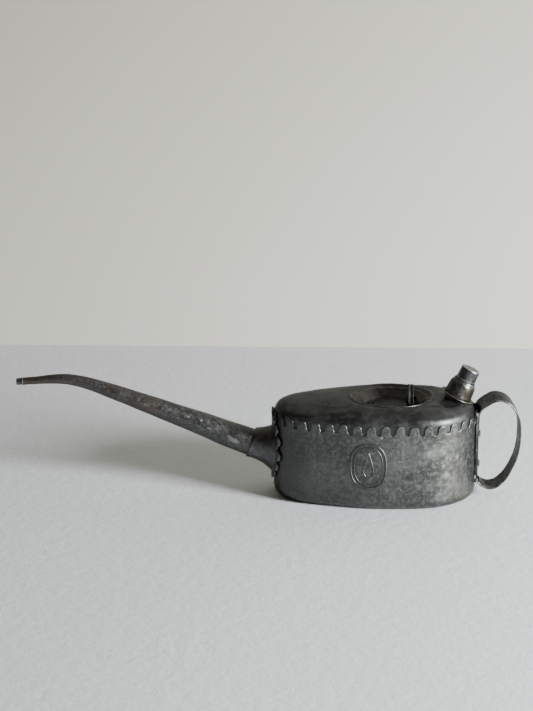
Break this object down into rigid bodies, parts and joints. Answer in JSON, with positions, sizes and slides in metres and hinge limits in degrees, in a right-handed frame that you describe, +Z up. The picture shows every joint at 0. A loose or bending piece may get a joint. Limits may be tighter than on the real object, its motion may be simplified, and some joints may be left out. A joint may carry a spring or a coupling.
{
  "type": "hand oiler can",
  "caption": "Long-spouted oval metal oil can with a thumb-button air valve, a spring-shut filler flap and a strap handle.",
  "frame": {"origin": "centre of the flat base, on the can's mid-plane", "axes": "+Z up, +X towards the handle with the spout along -X, +Y across the can"},
  "size_m": [0.389, 0.0936, 0.1026],
  "materials": {
    "tinned_steel": "aged tinned sheet, worn satin",
    "dark_steel": "dark oiled patina, brushed",
    "bright_steel": "handled bright metal",
    "spring_steel": "bright wire",
    "brass": "dull",
    "leather": "oil soaked",
    "solder": "dull solder"
  },
  "bodies": {
    "can": {"body_shell": "tinned_steel", "top_cover": "dark_steel", "filler_dish": "dark_steel", "hinge_ear_near": "dark_steel", "hinge_ear_far": "dark_steel", "hinge_pin": "bright_steel", "flap_spring": "spring_steel", "valve_neck": "tinned_steel", "neck_flange": "tinned_steel", "valve_seat": "brass", "valve_spring": "spring_steel", "spout_tube": "dark_steel", "spout_tip": "bright_steel", "spout_socket": "tinned_steel", "handle_strap": "dark_steel", "handle_rivet_upper": "solder", "handle_rivet_lower": "solder"},
    "flap": {"filler_flap": "dark_steel", "flap_gasket": "leather", "gasket_retainer": "tinned_steel", "gasket_rivet": "brass", "thumb_loop": "dark_steel"},
    "button": {"thumb_button": "bright_steel", "valve_stem": "spring_steel", "valve_washer": "leather", "valve_disc": "brass", "valve_nut": "brass"}
  },
  "joints": [
    {"name": "flap_hinge", "type": "hinge", "parent": "can", "child": "flap", "pos_m": [0.0276, 0, 0.0732], "axis": [0, 1, 0], "range_deg": [0, 65], "stiffness_Nm_per_rad": 0.02, "springref_deg": -28.65},
    {"name": "button_press", "type": "slide", "parent": "can", "child": "button", "axis": [-0.4226, 0, -0.9063], "range_m": [0, 0.0045], "stiffness_N_per_m": 400, "springref_m": -0.004, "deforming": ["valve_spring"]}
  ]
}
